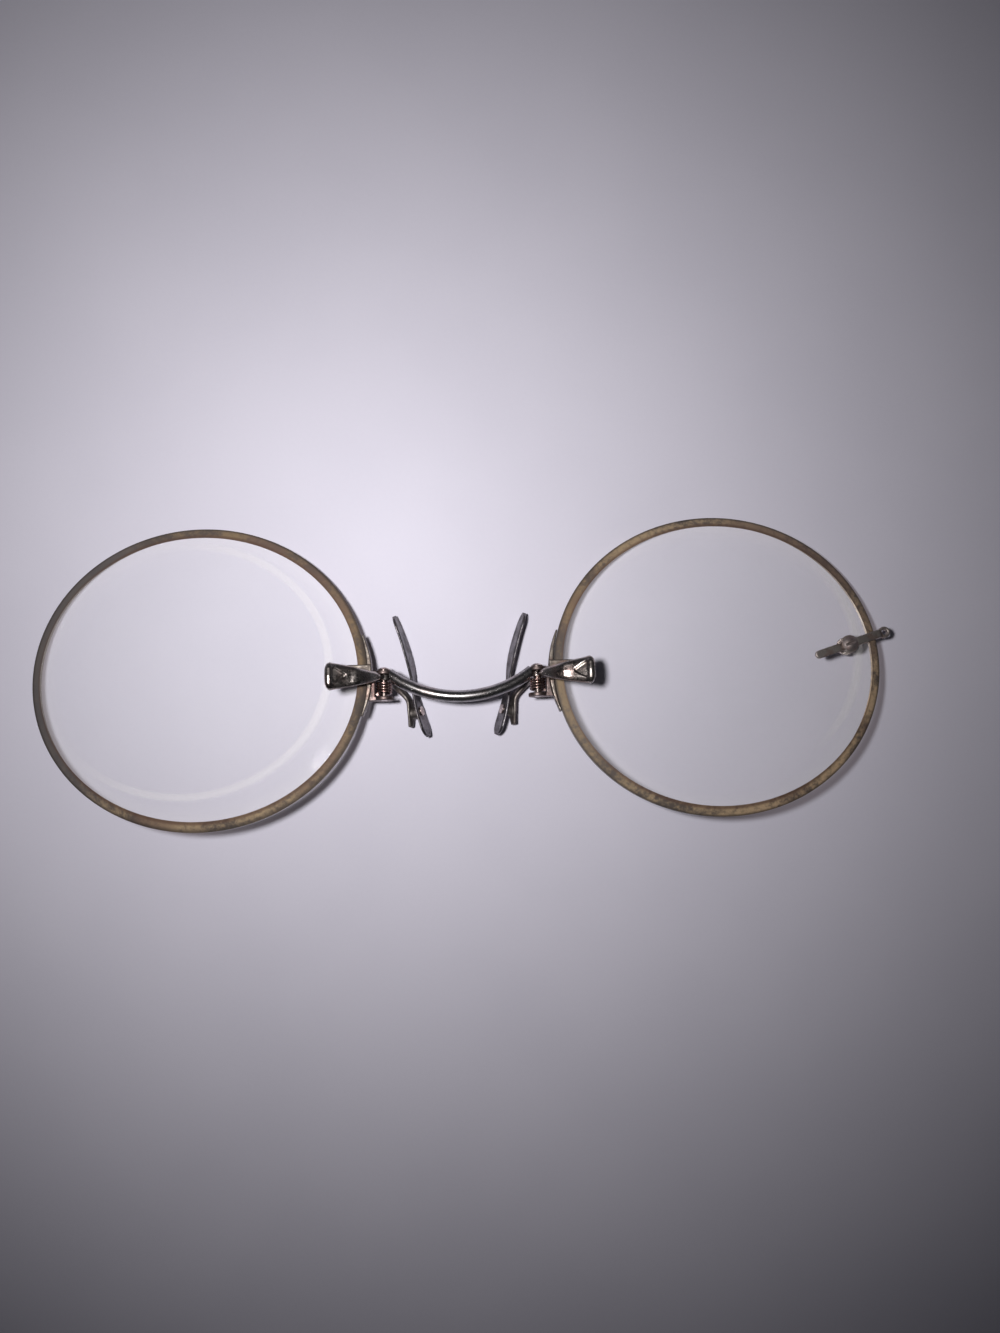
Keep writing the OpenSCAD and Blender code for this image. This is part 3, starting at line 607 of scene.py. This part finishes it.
for part, worn in wornParts.items():
    for word in sideWords.values() if worn["sides"] else ("",):
        node = part + "_" + word if word else part
        first, *others = (word + "_" + part if word else part).split("_")
        name = first + "".join(other.title() for other in others)
        bm = bmesh.new()
        bm.from_mesh(frame["nodes"][node].data)
        bmesh.ops.scale(bm, vec=(1 / mm, 1 / mm, 1 / mm), verts=bm.verts)
        bmesh.ops.remove_doubles(bm, verts=bm.verts, dist=mergeGap)
        mesh = bakedMesh(bm, name, [
            ("REMESH", {"mode": "VOXEL", "voxel_size": worn["grid"]}),
            ("SMOOTH", {"factor": wearPerPass, "iterations": worn["passes"]})])
        makePiece(name, mesh, node, [looks[worn["look"]]])
        print(name, len(mesh.polygons), "faces")
print("metalwork made")

# Paper, clouded and with a fine fibre
paper = {
    "size": 0.9, "tone": (0.78, 0.757, 0.869), "shade": (0.72, 0.70, 0.81),
    "cloudSize": 22, "cloudFades": (0.35, 0.65), "cloudShare": 0.35,
    "fibreSize": 0.5, "fibreFades": (0.3, 0.7), "fibreShare": 0.10,
    "rough": 0.85, "gloss": 0.25, "depth": 0.03, "strength": 0.25}
bm = bmesh.new()
bmesh.ops.create_grid(bm, x_segments=1, y_segments=1, size=paper["size"] / 2)
sheet = meshObject("paper", bm)
look = Look(bpy.data.materials.new("palePaper"))
cloud = look.noise(paper["cloudSize"], detail=3)
fibre = look.noise(paper["fibreSize"], detail=4)
shaded = (look.fade(cloud, *paper["cloudFades"]) * paper["cloudShare"]
          + look.fade(fibre, *paper["fibreFades"]) * paper["fibreShare"])
sheet.data.materials.append(look.finish(look.node("ShaderNodeBsdfPrincipled", {}, {
    "Base Color": look.blend(shaded, paper["tone"], paper["shade"]),
    "Roughness": paper["rough"], "Specular IOR Level": paper["gloss"],
    "Normal": look.bump(fibre, paper["depth"], paper["strength"])})))

# Soft light beside the camera
lamp = {"at": (-22, 15, 135), "aim": (-10, 13.4, 0), "size": 13, "watts": 0.0425, "spread": 90,
        "colour": (1.0, 0.98, 0.97)}
light = bpy.data.lights.new("softLight", "AREA")
light.shape = "DISK"
light.size = lamp["size"] * mm
light.energy = lamp["watts"]
light.color = lamp["colour"]
light.spread = math.radians(lamp["spread"])
softLight = addObject("softLight", light)
softLight.location = Vector(lamp["at"]) * mm
shining = Vector(lamp["aim"]) - Vector(lamp["at"])
softLight.rotation_euler = shining.to_track_quat("-Z", "Y").to_euler()

# A dim room, lighter near the floor than overhead
room = {"colour": (0.80, 0.82, 0.92), "overhead": 0.45, "glow": 0.20, "dimGlow": 0.014}
world = bpy.data.worlds.new("dimRoom")
air = Look(world, "Generated")
glow = air.node("ShaderNodeMapRange", {}, {
    "Value": air.axis(air.place, "Z"), "From Min": room["overhead"], "From Max": 0.0,
    "To Min": room["dimGlow"], "To Max": room["glow"]}, "Result")
air.finish(air.node("ShaderNodeBackground", {}, {
    "Color": opaque(room["colour"]), "Strength": glow}), "ShaderNodeOutputWorld")
scene.world = world
scene.view_settings.view_transform = "Standard"

# Camera, almost straight over the glasses
shot = {"at": (0.272, 5.811, 132.036), "turn": (-2.364, -1.706, -1.448), "lens": 28.36,
        "sensor": 36, "near": 5, "far": 5000}
camera = bpy.data.cameras.new("camera")
camera.lens = shot["lens"]
camera.sensor_width = shot["sensor"]
camera.clip_start, camera.clip_end = shot["near"] * mm, shot["far"] * mm
cameraObject = addObject("camera", camera)
cameraObject.location = Vector(shot["at"]) * mm
cameraObject.rotation_euler = [math.radians(a) for a in shot["turn"]]
scene.camera = cameraObject
print("paper, light and camera set")
